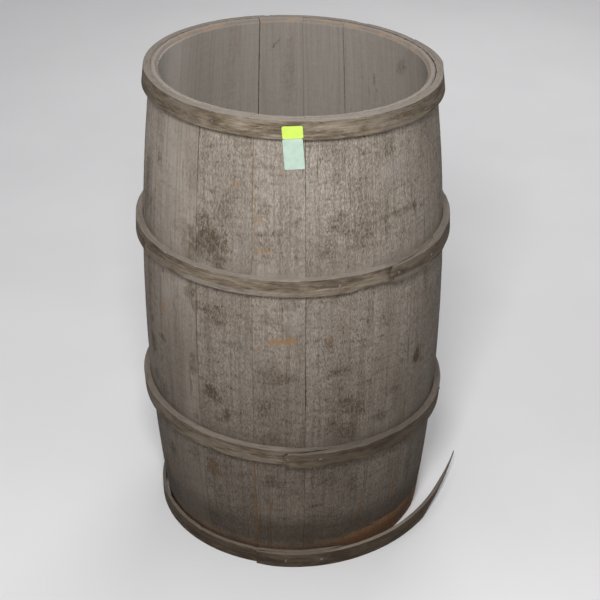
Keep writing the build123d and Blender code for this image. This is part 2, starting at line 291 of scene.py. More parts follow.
def sheet_faces(rows, count):
    """Quads of two equal grids, one over the other, and of the rim between them."""
    grid = np.arange(rows * count).reshape(rows, count)
    above = np.stack([grid[:-1, :-1], grid[:-1, 1:], grid[1:, 1:], grid[1:, :-1]], -1).reshape(-1, 4)
    below = above[:, [0, 3, 2, 1]] + rows * count
    rim = np.concatenate([grid[0], grid[1:, -1], grid[-1, -2::-1], grid[-2:0:-1, 0]])
    ahead = np.roll(rim, -1)
    between = np.stack([rim, rim + rows * count, ahead + rows * count, ahead], -1)
    return np.concatenate([above, below, between]).tolist()


# ---- places and wear of the bent wood hoops ----
class Hoop:
    """One nailed hoop: its place and lean as in the CAD, and its wear.

    hand: 1 if the strip winds clockwise from its inner tip, -1 if anticlockwise
    droop: how far the free end of the lap sags
    shade: how dark the face is, as (bearing, share) pairs; partly darker wood, partly painted shade that
    deepens towards the flanks
    patches: where the face is worn pale, as (bearing, half width, strength)
    nicks: cuts in the lower edge, as (first bearing, last bearing, height)
    bared: where the lower third is worn grey, as four bearings of a ramp up and down, and a strength
    """

    nicks = bared = ()

    def __init__(self, name, top, lean, **others):
        vars(self).update(others)
        self.name = name
        self.top = top
        self.lean = lean
        self.middle = top - HOOP_WIDTH / 2
        self.clearance = HOOP_CLEARANCE + BILGE_RADIUS * math.hypot(*lean) ** 2 / 2
        upright = Vector((-lean[0], -lean[1], 1)).normalized()
        along_x = Vector((1, 0, lean[0])).normalized()
        self.axes = np.array([along_x, upright.cross(along_x), upright])

    def inside(self, z):
        """Inside radius of the hoop at the level z."""
        return outer_radius(z) + self.clearance

    def low_worn(self, side):
        """How far the lower third of the face is worn grey at a bearing."""
        total = 0 * side
        for begin, full, ebb, end, strength in self.bared:
            total = total + strength * ease(side, begin, full) * (1 - ease(side, ebb, end))
        return total

    def shift(self, z):
        """How far the hoop's centre is off the axis at the level z, along +X and along +Y."""
        reach = outer_slope(z) * outer_radius(z)
        return reach * self.lean[0], reach * self.lean[1]

    def point(self, radius, angle, z):
        """Places a radius and an angle of the hoop's own level z in the frame."""
        flat_x, flat_y = radius * np.cos(angle), radius * np.sin(angle)
        return triple(*self.shift(z), z) + flat_x[..., None] * self.axes[0] + flat_y[..., None] * self.axes[1]


hoops = (
    Hoop(
        "top_chime_hoop", 0.7253, RIM_LEAN, lap_end=71.0, lap_turn=28.0, hand=-1,
        nail_angles=(-150.0, -84.0, -14.0, 50.0, 64.0, 118.0, 170.0), droop=0.001,
        shade=(
            (-180, 0.5), (-60, 0.62), (-40, 0.5), (-20, 0.14), (10, 0.12), (40, 0.42), (70, 0.5), (180, 0.5)
        ),
        patches=((-66, 5, 1.0), (-52, 8, 1.3), (-36, 6, 1.1), (-22, 5, 0.7), (46, 4, 1.6), (63, 5, 1.6)),
    ),
    Hoop(
        "upper_quarter_hoop", 0.5046, (0.0, 0.0), lap_end=-20.0, lap_turn=28.0, hand=1,
        nail_angles=(-118.0, -38.0, -15.5, 2.0, 84.0, 168.0), droop=0.0012,
        shade=((-180, 0.6), (-60, 0.6), (-35, 0.4), (-10, 0.3), (33, 0.36), (35, 0.7), (70, 0.8), (180, 0.6)),
        patches=((-30, 6, 0.9), (8, 3, 0.8), (42, 6, 1.3), (58, 4, 1.2)),
        nicks=((20.0, 33.5, 0.0018),), bared=((-48, -36, -14, -4, 0.8), (34.5, 35.5, 46, 54, 1.0)),
    ),
    Hoop(
        "lower_quarter_hoop", 0.2255, (-0.036, -0.02), lap_end=-58.0, lap_turn=30.0, hand=1,
        nail_angles=(-131.0, -55.6, -44.0, 27.0, 110.0, 178.0), droop=0.0036,
        shade=((-180, 0.9), (-60, 0.75), (-35, 0.62), (-6, 0.57), (4, 0.9), (20, 1.0), (70, 1.0), (180, 0.9)),
        patches=((-45, 6, 0.7), (-6, 2, 1.6), (32, 5, 0.9), (50, 4, 1.2)),
    ),
)

# ---- staves ----
EDGE_STEPS = (0.0, 0.0003, 0.0008, 0.0015, 0.0026, 0.0042)
DEPTHS = np.linspace(0, 1, 5)[1:-1]  # shares of the thickness at the points of a board's edges
FOOT_ROWS = (0, 0.0003, 0.0008, 0.0016, 0.003, 0.005, 0.0075, 0.0105, 0.0135, 0.0165, 0.0195)
GROOVE_ROWS = (0.022, 0.0239, 0.02399, 0.02401, 0.0262, 0.02839, 0.02841, 0.0285)
RIM_ROWS = HEIGHT - np.array([0.0075, 0.005, 0.0032, 0.002, 0.0012, 0.0006, 0.0002, 0])
stave_rows = np.concatenate([FOOT_ROWS, GROOVE_ROWS, np.arange(0.0315, 0.7145, 0.003), RIM_ROWS])
ROUGHNESS = {1: 0.3, 2: 0.85, 3: 0.7, 5: 0.75, 6: 0.65, 17: 0.5}  # staves smoother than the others
INNER_OPENING = {10: 0.00025, 12: 0.0009}  # joints that gape inside, by the stave before
OUTER_OPENING = {3: 0.0001}  # joints that gape outside
SAW_DEPTH, ROW_DEPTH, WAVE_DEPTH = 0.00022, 0.00012, 0.0003  # of the rough outer face
INSIDE_RELIEF, INSIDE_CROWN = 0.00015, 0.0006
EDGE_WEAR, EDGE_WEAR_MORE, CHIP_DEPTH = 0.0003, 0.0004, 0.0020
INNER_ROUNDING, RIM_ROUNDING, FOOT_ROUNDING = 0.0004, 0.0007, 0.0009
PULL = 0.00003  # how far a joint's edge stands back, and how much that varies
SEAM_SHADE = 0.0005  # how far the dark of a joint reaches
DUST_REACH = 0.011  # how far dust lies above a hoop


def build_stave(number, start, width):
    """One bowed board: rough-sawn outside, worn edges, bevelled ends and the croze groove."""
    draw = np.random.default_rng(100 + number)
    seed = 40 * number
    gap = SEAM_GAP / RIM_RADIUS / 2
    first, last = math.radians(start) + gap, math.radians(start + width) - gap
    face_width = (last - first) * BILGE_RADIUS
    across = steps(face_width, 0.0027, EDGE_STEPS)[None, :]
    z0 = stave_rows[:, None]
    share = across / face_width
    crown = 1 - (2 * share - 1) ** 2
    to_rim = HEIGHT - z0

    flat = draw.uniform(0.0002, 0.0005)
    sunk = draw.uniform(0.0, 0.0003)
    twist = draw.uniform(-0.0003, 0.0003)
    short = draw.uniform(0.0, 0.0007)
    wear, pulled = [], []
    for edge in (0, 1):
        rubbed = EDGE_WEAR_MORE * np.maximum(layered(z0 / 0.05, seed, seed=seed + 1 + edge), 0)
        chips = CHIP_DEPTH * ease(noise(z0 / 0.035, 0.5, seed=seed + 3 + edge), 0.70, 0.95)
        wear.append(EDGE_WEAR + rubbed + chips)
        pulled.append(PULL + PULL * noise(z0 / 0.09, 1.5, seed=seed + 5 + edge))
    pulled[1] = pulled[1] + OUTER_OPENING.get(number, 0.0)

    def between(left, right):
        """Angles across the board, narrowed by a distance at both joints."""
        left, right = first + left / BILGE_RADIUS, last - right / BILGE_RADIUS
        return left + (right - left) * share

    def section(outer, inner, edge=None):
        """Values round the board: outer face, last edge, inner face and first edge."""
        outer, inner = (np.broadcast_to(face, (z0.size, across.size)) for face in (outer, inner))
        if edge is None:
            edges = [outer[:, k] + (inner[:, k] - outer[:, k]) * DEPTHS for k in (slice(-1, None), slice(1))]
        else:
            edges = [np.full((z0.size, DEPTHS.size), edge)] * 2
        return np.hstack([outer, edges[0], inner[:, ::-1], edges[1][:, ::-1]])

    rough = ROUGHNESS.get(number, 1.0)
    saw = layered(across / 0.006, z0 / 0.009, seed=seed + 7, layers=2)
    rows = layered(across / 0.05, z0 / 0.006, seed=seed + 8, layers=2)
    broad = layered(across / 0.03, z0 / 0.12, seed=seed + 9)
    outside = outer_radius(z0) - flat * crown - sunk - twist * (share - 0.5) - abs(twist) / 2
    outside = outside - rough * (SAW_DEPTH * (saw + 1) + ROW_DEPTH * (rows + 1)) - WAVE_DEPTH * (broad + 1)
    outside = outside - arris(across, wear[0]) - arris(face_width - across, wear[1])
    outside = outside - arris(to_rim, RIM_ROUNDING) - arris(z0, FOOT_ROUNDING)

    relief = INSIDE_RELIEF * (layered(across / 0.02, z0 / 0.004, seed=seed + 10) + 1)
    inside = inner_radius(z0) + relief + INSIDE_CROWN * crown
    inside = inside + arris(across, INNER_ROUNDING) + arris(face_width - across, INNER_ROUNDING)
    ragged = 0.0009 * layered(across / 0.012, 0.5, seed=seed + 11)
    bevel = np.maximum(RIM_BEVEL + ragged - to_rim, 0) + np.maximum(RIM_BEVEL - z0, 0)
    grooved = (z0 > CROZE_HEIGHT) & (z0 < CROZE_HEIGHT + CROZE_WIDTH)
    inside = inside + bevel + CROZE_DEPTH * grooved

    radius = section(outside, inside)
    inner_angle = between(pulled[0] * 0.5, pulled[1] * 0.3 + INNER_OPENING.get(number, 0.0))
    angle = section(between(*pulled), inner_angle)
    x, y = radius * np.cos(angle), radius * np.sin(angle)
    lift = RIM_LEAN[0] * x + RIM_LEAN[1] * y - short
    ends = 0.0005 * (layered(across / 0.008, 3.5, seed=seed + 12) - 1)
    z = z0 + lift * ease(z0, 0.45, 0.70) + section(ends, ends) * ease(z0, 0.705, 0.722)

    n, m = across.size, DEPTHS.size
    inner = [2 * n + m - 1 - i for i in range(n)]
    caps = [[i, i + 1, inner[i + 1], inner[i]] for i in range(1, n - 2)]
    caps.append([0, 1, inner[1], inner[0], *range(2 * n + m, 2 * n + 2 * m)])
    caps.append([n - 2, n - 1, *range(n, n + m), inner[n - 1], inner[n - 2]])

    side = bearing(angle)
    turn = np.radians(side)
    is_inner = section(0.45 * (1 - rough), 1.0, edge=0.5)
    outer_marks = paint(OUTER_MARKS, side, z, BILGE_RADIUS, 7)
    inner_marks = paint(INNER_MARKS, side, z, RIM_RADIUS, 9)
    joint = np.exp(-across / SEAM_SHADE) + np.exp(-(face_width - across) / SEAM_SHADE)
    bared = ease(bevel, 0.0002, 0.0012) * (to_rim < 0.02)
    dust = 0.0
    for hoop in hoops[1:]:
        above = z - hoop.top - hoop.lean[0] * x - hoop.lean[1] * y
        dust = np.maximum(dust, np.exp(-np.maximum(above, 0) / DUST_REACH) * (above > -0.001))
    width_at = section(across, across)
    depth_at = outer_radius(z0) - radius
    values = {
        "grain": triple(width_at + 0.31 * number, depth_at, z + 0.57 * number),
        "marks": np.where(is_inner[..., None] > 0.5, inner_marks, outer_marks),
        "finish": triple(section(joint, joint * 0.6, edge=1.0), is_inner, section(0.0, bared, edge=0.0)),
        "place": triple(dust, z / HEIGHT, ease(z0, HEIGHT - 0.0006, HEIGHT - 0.0001)),
        "side": triple(np.sin(turn), np.cos(turn), 0.0),
    }
    name = f"stave_{number:02d}"
    faces = tube_faces(z0.size, 2 * n + 2 * m, caps)
    add_piece(f"{name}_board", triple(x, y, z), faces, values, "barrel", name, stave_wood)


# ---- bent wood hoops ----
HOOP_ROW_TURN = 0.62  # turn between a hoop's rows of points
HOOP_CORNER, STRIP_CORNER = 0.0007, 0.0006  # radius of the worn corners
HOOP_EDGE_WEAR, HOOP_CHIP, HOOP_WANDER = 0.0005, 0.0012, 0.0005
HOOP_SEAT = 0.0007  # how much nearer the rough staves a hoop lies than in the CAD


def strip_section(width, thickness, corner):
    """Loop of a hoop's section as (share up the width, share through the thickness) points.

    It runs up the outer face, in over the top, down the inner face and out below. The other
    results are how far the worn outer corners pull in, and how far the flats drop beside them.
    """
    up = steps(width, 0.0017, (0.0, 0.00015, 0.0004, 0.0008, 0.0016)) / width
    through = steps(thickness, 0.0016, (0.0, 0.00015, 0.0004, 0.0008)) / thickness
    outer = [(v, 1.0) for v in up]
    top = [(1.0, 1.0 - u) for u in through[1:-1]]
    inner = [(v, 0.0) for v in up[::-2]]
    below = [(0.0, u) for u in through[1:-1]]
    share_up, share_out = np.array(outer + top + inner + below).T[:, None, :]
    v, u = share_up * width, share_out * thickness
    is_face = share_out == 1.0
    is_flat = (share_out > 0) & (share_out < 1)
    pull = (arris(width - v, corner) + arris(v, corner)) * is_face * 0.5
    squeeze = np.where(is_flat, arris(thickness - u, corner), 0.0) * 0.5
    squeeze = np.where(is_face & ((v < 1e-9) | (width - v < 1e-9)), corner * 0.5, squeeze)
    return share_up, share_out, pull, squeeze


def build_hoop(hoop, number):
    """A lapped strip of bent wood with worn edges and raised grain."""
    seed = 900 + 40 * number
    total = 360.0 + hoop.lap_turn
    end = total - TIP_GAP
    middle_rows = np.arange(0.4, total - 0.4, HOOP_ROW_TURN)
    turn = np.unique(np.concatenate([[0.0, 0.1], middle_rows, [end - 0.12, end]]))[:, None]
    tip_angle = hoop.lap_end + hoop.hand * hoop.lap_turn
    full = HOOP_THICKNESS
    share_up, share_out, pull, squeeze = strip_section(HOOP_WIDTH, full, HOOP_CORNER)
    is_face = share_out == 1.0
    over = turn - 360
    torn = 1.1 * np.abs(2 * share_up - 1) ** 4 + 0.7 * (layered(share_up * 9, 0.5, seed=seed + 8) + 1)
    angle = np.radians(tip_angle - hoop.hand * (turn - torn * ease(turn, total - 4.0, end)))
    inner_layer = np.where(turn < hoop.lap_turn, LAP_TIP + (full - LAP_TIP) * turn / hoop.lap_turn, full)
    low = np.where(
        over > 0,
        LAP_TIP + LAP_GAP + (full - LAP_TIP) * over / hoop.lap_turn,
        (LAP_TIP + LAP_GAP) * ease(over, -1.8, 0.0),
    )
    high = np.where(over > -LAP_RAMP, full + (LAP_GAP + LAP_TIP) * ease(over, -LAP_RAMP, 0.0), inner_layer)

    side = bearing(np.radians(tip_angle - hoop.hand * turn))
    around = np.radians(turn) * BILGE_RADIUS
    nick = 0.0
    for start, stop, depth in hoop.nicks:
        nick = nick + depth * ease(side, start, start + 2.5) * (1 - ease(side, stop - 0.7, stop))
    top_wear = HOOP_EDGE_WEAR * np.maximum(layered(around / 0.03, 0.5, seed=seed + 1), 0)
    low_wear = HOOP_EDGE_WEAR * np.maximum(layered(around / 0.03, 0.5, seed=seed + 3), 0)
    chipped = HOOP_CHIP * ease(noise(around / 0.012, 0.5, seed=seed + 2), 0.45, 0.8)
    wander = HOOP_WANDER * noise(around / 0.11, 0.5, seed=seed + 4)
    upper = share_up > 0.5
    nick_share = np.where(share_out > 0.3, 1 - ease(share_up, 0.0, 0.35), 0)
    shift = nick * nick_share - squeeze * np.sign(share_up - 0.5)
    shift = shift - top_wear * ease(share_up, 0.55, 1.0) + low_wear * (1 - ease(share_up, 0.0, 0.45))
    shift = shift - hoop.droop * ease(over, hoop.lap_turn * 0.25, hoop.lap_turn * 0.8)
    shift = shift - chipped * ease(share_up, 0.9, 1.0) * ease(share_out, 0.7, 1.0)
    shift = shift + np.where(upper, np.minimum(wander, 0), np.maximum(wander, 0))

    height_up = (share_up - 0.5) * HOOP_WIDTH
    ridge = layered(around / 0.060, height_up / 0.0030, share_out, seed=seed + 5)
    flake = ease(layered(around / 0.035, height_up / 0.005, seed=seed + 6), 0.25, 0.45)
    relief = (0.00018 * (ridge + 1) + 0.00035 * flake) * is_face
    thick = high - low
    out = low + thick * share_out - (pull + relief) * np.minimum(1.0, thick / full)
    out = out - nick * nick_share * 0.5 * share_out - HOOP_SEAT * (share_out == 0.0) * (over <= 0)
    level = hoop.top - HOOP_WIDTH * (1 - share_up)
    points = hoop.point(hoop.inside(level) + out, angle, level) + shift[..., None] * hoop.axes[2]

    worn = 0.9 * flake * is_face
    for middle, half, strength in hoop.patches:
        near = strength * (1 - ease(np.abs(side - middle) / half, 0.4, 1.0)) * is_face
        worn = np.maximum(worn, near * (0.7 + 0.6 * ridge))
    pale_end = ease(over, hoop.lap_turn - 2.2, hoop.lap_turn - 1.0) * (share_out > 0.5)
    # painted shade on the hoop's underside
    under = (1 - ease(share_up, 0.0, 0.05)) * (share_out < 0.8)
    low_band = (1 - ease(share_up, 0.22, 0.36)) * hoop.low_worn(side) * is_face
    # painted shade by bearing, deepest at the flanks, together with the darker wood
    shade = np.interp(side, *zip(*hoop.shade))
    values = {
        "grain": triple(around + 3.1 * number, share_up * HOOP_WIDTH + share_out * 0.013, out),
        "marks": triple(under, low_band, np.clip(worn * 0.5 + pale_end * 0.8, 0, 1)),
        "finish": triple(0.5 * ease(share_up, 0.97, 1.0) * is_face, share_up > 0.999, shade),
    }
    loop = share_up.size
    faces = tube_faces(turn.size, loop, [list(range(loop))])
    if hoop.hand > 0:
        faces = [face[::-1] for face in faces]
    add_piece(f"{hoop.name}_strip", points, faces, values, "barrel", hoop.name, hoop_wood)


# ---- loose bottom hoop ----
def arc_path(centre, radius, start, turn, spacing=0.0028):
    """Points and headings along an arc that runs anticlockwise."""
    count = max(int(math.radians(turn) * radius / spacing), 2)
    angles = np.radians(start + np.linspace(0, turn, count + 1))
    points = np.stack([centre[0] + radius * np.cos(angles), centre[1] + radius * np.sin(angles)], -1)
    return points, angles + math.pi / 2


def build_strip(name, points, headings, taper_start, taper_end, sliver, number):
    """A flat bent strip standing on its edge along a plan path; sliver is 1 if its end is split."""
    seed = 2000 + 50 * number
    run = np.concatenate([[0], np.cumsum(np.hypot(*np.diff(points, axis=0).T))])[:, None]
    to_end = run[-1, 0] - run
    share_up, share_out, pull, squeeze = strip_section(STRIP_WIDTH, STRIP_THICKNESS, STRIP_CORNER)
    thinned = np.minimum(run / taper_start if taper_start else 1.0, to_end / taper_end)
    full = 0.25 + 0.75 * ease(thinned, 0.0, 1.0)
    height_up = (share_up - 0.5) * STRIP_WIDTH
    ridge = layered(run / 0.07, height_up / 0.003, share_out, seed=seed)
    flake = ease(layered(run / 0.03, height_up / 0.006, seed=seed + 1), 0.3, 0.5)
    is_face = share_out == 1.0
    relief = (0.00013 * (ridge + 1) + 0.00025 * flake) * (is_face | (share_out == 0.0))
    out = ((share_out - 0.5) * STRIP_THICKNESS - pull) * full - relief * np.sign(share_out - 0.5)

    split = np.clip(1 - to_end / SLIVER_LENGTH, 0, 1)
    split = sliver * (1 - (1 - split) ** 3)
    frayed = 0.0012 * (layered(run / 0.012, 0.5, seed=seed + 4) + 1) * ease(split, 0.02, 0.2)
    low_edge = (STRIP_WIDTH - SLIVER_HEIGHT) * split + sliver * frayed
    low_edge = np.minimum(low_edge, STRIP_WIDTH - SLIVER_HEIGHT + 0.0005)
    tall = STRIP_WIDTH - low_edge
    top_wear = 0.0007 * np.maximum(layered(run / 0.025, 0.5, seed=seed + 2), 0)
    top_wear = top_wear + 0.002 * ease(noise(run / 0.02, 0.5, seed=seed + 3), 0.65, 0.95)
    z = low_edge + share_up * tall - squeeze * np.sign(share_up - 0.5)
    z = np.clip(z - np.minimum(top_wear, 0.15 * tall) * ease(share_up, 0.4, 1.0), low_edge, STRIP_WIDTH)
    x = points[:, :1] + np.sin(headings)[:, None] * out
    y = points[:, 1:] - np.cos(headings)[:, None] * out

    side = bearing(np.arctan2(y, x))
    dusted = 0.55 + 0.45 * ease(side, 8, 25) * (1 - ease(side, 48, 58))
    values = {
        "grain": triple(run + 7.7 * number, share_up * STRIP_WIDTH + share_out * 0.011, out),
        "marks": triple(0.0, 0.0, 0.5 * flake * is_face),
        # the face takes the full darkening: darker wood and painted shade
        "finish": triple(0.8 * ease(share_up, 0.95, 1.0) * dusted, (share_up > 0.999) * dusted, 1.0),
    }
    loop = share_up.size
    points, faces = triple(x, y, z), tube_faces(run.size, loop, [list(range(loop))])
    add_piece(f"{name}_bent", points, faces, values, "loose_hoop", name, loose_wood)


# ---- nails ----
HEAD_PROFILE = ((0.35, 0.97), (0.65, 0.86), (0.88, 0.62), (0.98, 0.34), (1.0, 0.12), (0.97, 0.0))
NAIL_SIDES = 20
NAIL_SET_IN = 0.0005  # how deep a head is driven into the wood
STRIP_NAIL_SET_IN = 0.0004


def build_nails(name, seats, length, body, seed):
    """Hand-driven wire nails: domed, slightly battered heads on shanks."""
    draw = np.random.default_rng(seed)
    turns = np.linspace(0, 2 * math.pi, NAIL_SIDES + 1)[:-1, None]
    profile = [(reach * NAIL_HEAD_RADIUS, lift * NAIL_HEAD_THICKNESS) for reach, lift in HEAD_PROFILE]
    profile += [(NAIL_RADIUS, 0.0), (NAIL_RADIUS, -length * 0.9), (NAIL_HEAD_RADIUS * 0.02, -length)]
    reach, lift = np.array(profile).T[:, :, None]
    points, faces = [], []
    for origin, facing in seats:
        facing = Vector(facing).normalized()
        across = facing.orthogonal().normalized()
        spokes = np.cos(turns) * np.array(across) + np.sin(turns) * np.array(facing.cross(across))
        dent = draw.uniform(0.94, 1.0, NAIL_SIDES)
        battered = np.where(reach > 0.9 * NAIL_HEAD_RADIUS, reach * dent, reach + 0 * dent)
        base = len(points)
        rings = np.array(origin) + lift[..., None] * np.array(facing) + battered[..., None] * spokes
        points += [*rings.reshape(-1, 3), np.array(origin) + NAIL_HEAD_THICKNESS * np.array(facing)]
        crown, tip = len(points) - 1, len(points) - 1 - NAIL_SIDES
        pairs = [(k, (k + 1) % NAIL_SIDES) for k in range(NAIL_SIDES)]
        faces += [[crown, base + k, base + ahead] for k, ahead in pairs]
        for low in range(base, tip, NAIL_SIDES):
            high = low + NAIL_SIDES
            faces += [[low + k, high + k, high + ahead, low + ahead] for k, ahead in pairs]
        faces.append([tip + k for k in reversed(range(NAIL_SIDES))])
    points = np.array(points)
    add_piece(f"{name}_steel", points, faces, {"grain": points}, body, name, nail_steel, 50.0)


def hoop_nail_seats(hoop):
    """Where a hoop's nails sit and the way that they face."""
    seats = []
    for degrees in hoop.nail_angles:
        lapped = hoop.hand * (degrees - hoop.lap_end) % 360 < hoop.lap_turn
        skin = HOOP_THICKNESS + NAIL_LIFT + (LAP_TIP + LAP_GAP if lapped else 0)
        angle = math.radians(degrees)
        shift_x, shift_y = hoop.shift(hoop.middle)
        x = (hoop.inside(hoop.middle) + skin) * math.cos(angle) + shift_x
        y = (hoop.inside(hoop.middle) + skin) * math.sin(angle) + shift_y
        z = hoop.middle + x * hoop.lean[0] + y * hoop.lean[1]
        facing = Vector((math.cos(angle), math.sin(angle), -outer_slope(hoop.middle))).normalized()
        seats.append((Vector((x, y, z)) - facing * NAIL_SET_IN, facing))
    return seats


# ---- bottom head ----
lip_radius = float(inner_radius(CROZE_HEIGHT)) - HEAD_PLAY
tongue_radius = lip_radius + CROZE_DEPTH
tongue_bottom = CROZE_HEIGHT + (CROZE_WIDTH - HEAD_EDGE) / 2
tongue_top = tongue_bottom + HEAD_EDGE
head_bottom = tongue_bottom + (HEAD_EDGE - HEAD_THICKNESS) / 2
head_top = head_bottom + HEAD_THICKNESS
HEAD_RIM_STEPS = (0, 0.002, 0.0044, 0.0046, 0.007, 0.0095, 0.0118, 0.0125, 0.015)


def build_board(number, low, high):
    """One board of the head: bevelled into the groove, worn along its joints."""
    low, high = max(low, -tongue_radius + 0.0002), min(high, tongue_radius - 0.0002)
    columns = low + steps(high - low, 0.004, (0.0, 0.0003, 0.0008, 0.0016, 0.003))
    inward = tongue_radius - np.concatenate([HEAD_RIM_STEPS, np.linspace(0.019, tongue_radius, 52)])
    lines = np.concatenate([-inward, inward[::-1][1:]]) / tongue_radius
    x = columns[None, :]
    y = lines[:, None] * np.sqrt(np.maximum(tongue_radius**2 - x**2, 1e-10))
    in_bevel = np.clip((lip_radius - np.hypot(x, y)) / HEAD_BEVEL, 0, 1)
    from_edge = np.minimum(x - low, high - x)
    fall = arris(from_edge, 0.0012) * (in_bevel > 0)
    cup = 0.0003 * (1 - np.clip(from_edge / 0.03, 0, 1)) * in_bevel
    wave = 0.00012 * (layered(x / 0.006, y / 0.05, seed=3000 + 30 * number) + 1) * in_bevel
    top = tongue_top + (head_top - tongue_top) * in_bevel - fall - cup - wave
    bottom = tongue_bottom + (head_bottom - tongue_bottom) * in_bevel + fall + wave
    points = np.stack([triple(x, y, top), triple(x, y, bottom)]).reshape(-1, 3)
    x, y, z = points.T
    values = {
        "grain": triple(x + 0.9 * number, z, y + 1.7 * number),
        "marks": 0 * points,
        "finish": triple(np.exp(-np.minimum(x - low, high - x) / 0.0016), 1.0, 0.0),
        "place": 0 * points + (0.0, 0.5, 0.0),
        "side": 0 * points + (0.0, 1.0, 0.0),
    }
    name = f"head_board_{number}"
    faces = sheet_faces(*in_bevel.shape)
    add_piece(f"{name}_plank", points, faces, values, "barrel", name, stave_wood)


# ---- paper tag ----
PAPER_EDGE_STEPS = (0.0, 0.0002, 0.0006, 0.0012)
PAPER_ROUNDING = 0.0022


def build_paper(name, back, wide, tall, pivot, top, material, curl):
    """A small sheet with rounded corners that follows back(height) and lifts at its edges.

    Its sides lean about the point that is pivot below its top.
    """
    across = steps(wide, 0.001, PAPER_EDGE_STEPS) - wide / 2
    s, t = np.meshgrid(across, steps(tall, 0.0012, PAPER_EDGE_STEPS))
    from_end = np.minimum(t, tall - t)
    s = s * (1 - arris(from_end, PAPER_ROUNDING) / (wide / 2))
    z = top - t + s * math.sin(math.radians(PAPER_SLOPE))
    lift = curl * ((2 * s / wide) ** 4 + 0.6 * (1 - from_end / tall * 2) ** 6)
    radius = back(z) + lift + 0.00012 * (layered(s / 0.009, t / 0.009, seed=77) + 1)
    angle = math.radians(TAG_ANGLE) + (s + (t - pivot) * math.sin(math.radians(PAPER_LEAN))) / radius
    skins = [triple(r * np.cos(angle), r * np.sin(angle), z) for r in (radius, radius - PAPER_THICKNESS)]
    grain = np.stack([triple(s, t, 0.0)] * 2)
    faces = [[a, d, c, b] for a, b, c, d in sheet_faces(*s.shape)]
    add_piece(f"{name}_sheet", np.stack(skins), faces, {"grain": grain}, "barrel", name, material)


def hoop_back(z):
    """Radius of the top hoop's face at the tag, with a little air."""
    return hoops[0].inside(z) + HOOP_THICKNESS + PAPER_CLEARANCE


label_top = STICKER_TOP - STICKER_HEIGHT - PAPER_GAP
label_bottom = label_top - LABEL_HEIGHT
label_foot = outer_radius(label_bottom) + PAPER_CLEARANCE


def label_back(z):
    """Radius of the label, which hangs from the hoop's face to the staves."""
    share = np.clip((z - label_bottom) / (HOOP_LOW_AT_TAG - label_bottom), 0, 1)
    hanging = label_foot + (hoop_back(HOOP_LOW_AT_TAG) - label_foot) * share
    return np.where(z > HOOP_LOW_AT_TAG, hoop_back(z), hanging)


# ---- materials ----
class Nodes:
    """Short names for the shader nodes of one material."""

    def __init__(self, name):
        self.material = bpy.data.materials.new(name)
        self.material.use_nodes = True
        self.tree = self.material.node_tree
        self.tree.nodes.clear()
        self.shader = self.tree.nodes.new("ShaderNodeBsdfPrincipled")
        output = self.tree.nodes.new("ShaderNodeOutputMaterial")
        self.tree.links.new(self.shader.outputs[0], output.inputs["Surface"])
        self.grain = self.read("grain")
        self.colour = None

    def put(self, socket, value):
        """Connect a node's output, or set a plain value."""
        if isinstance(value, bpy.types.NodeSocket):
            self.tree.links.new(value, socket)
        else:
            socket.default_value = value

    def node(self, kind, inputs, **settings):
        """A new node with its settings, and its inputs by name or by number."""
        node = self.tree.nodes.new(f"ShaderNode{kind}")
        for key, value in settings.items():
            setattr(node, key, value)
        for key, value in inputs.items():
            self.put(node.inputs[key], value)
        return node

    def read(self, name):
        """The vector that each point of the mesh has under a name."""
        return self.node("Attribute", {}, attribute_name=name).outputs["Vector"]

    def split(self, name):
        """The three values of such a vector."""
        return self.node("SeparateXYZ", {0: self.read(name)}).outputs

    def noise(self, factors, detail, roughness, distortion=0.0):
        """Noise with this many features to the metre along each axis of the grain."""
        scaled = self.node("VectorMath", {0: self.grain, 1: factors}, operation="MULTIPLY").outputs[0]
        inputs = {"Detail": detail, "Roughness": roughness, "Distortion": distortion}
        return self.node("TexNoise", {"Vector": scaled, "Scale": 1.0, **inputs}).outputs["Fac"]

    def fade(self, value, low, high, start=0.0, end=1.0):
        """Smoothly from start, where the value is low, to end, where it is high."""
        inputs = dict(enumerate((value, low, high, start, end)))
        return self.node("MapRange", inputs, interpolation_type="SMOOTHSTEP").outputs["Result"]

    def calc(self, operation, *values):
        """One arithmetic operation."""
        return self.node("Math", dict(enumerate(values)), operation=operation).outputs[0]

    def chain(self, operation, first, *others):
        """The same operation from left to right."""
        for other in others:
            first = self.calc(operation, first, other)
        return first

    times = partialmethod(chain, "MULTIPLY")
    plus = partialmethod(chain, "ADD")
    minus = partialmethod(chain, "SUBTRACT")

    def mix(self, share, first, second, mode="MIX"):
        """The second colour over the first."""
        node = self.node("Mix", {}, data_type="RGBA", blend_type=mode)
        sockets = [s for s in node.inputs if s.enabled]
        self.put(sockets[0], share)
        for socket, value in zip(sockets[1:], (first, second)):
            self.put(socket, value if isinstance(value, bpy.types.NodeSocket) else (*value, 1.0))
        return next(s for s in node.outputs if s.enabled)

    def over(self, colour, share, mode="MIX"):
        """Lay a colour over what the surface has so far."""
        self.colour = self.mix(share, self.colour, colour, mode)

    def bump(self, height, distance, strength):
        """Fine relief."""
        node = self.node("Bump", {"Height": height, "Distance": distance, "Strength": strength})
        self.tree.links.new(node.outputs["Normal"], self.shader.inputs["Normal"])

    def finish(self, roughness, specular=0.3, metallic=0.0):
        """Connects the shader and gives the material."""
        self.put(self.shader.inputs["Base Color"], self.colour)
        self.put(self.shader.inputs["Roughness"], roughness)
        self.shader.inputs["Specular IOR Level"].default_value = specular
        self.shader.inputs["Metallic"].default_value = metallic
        return self.material


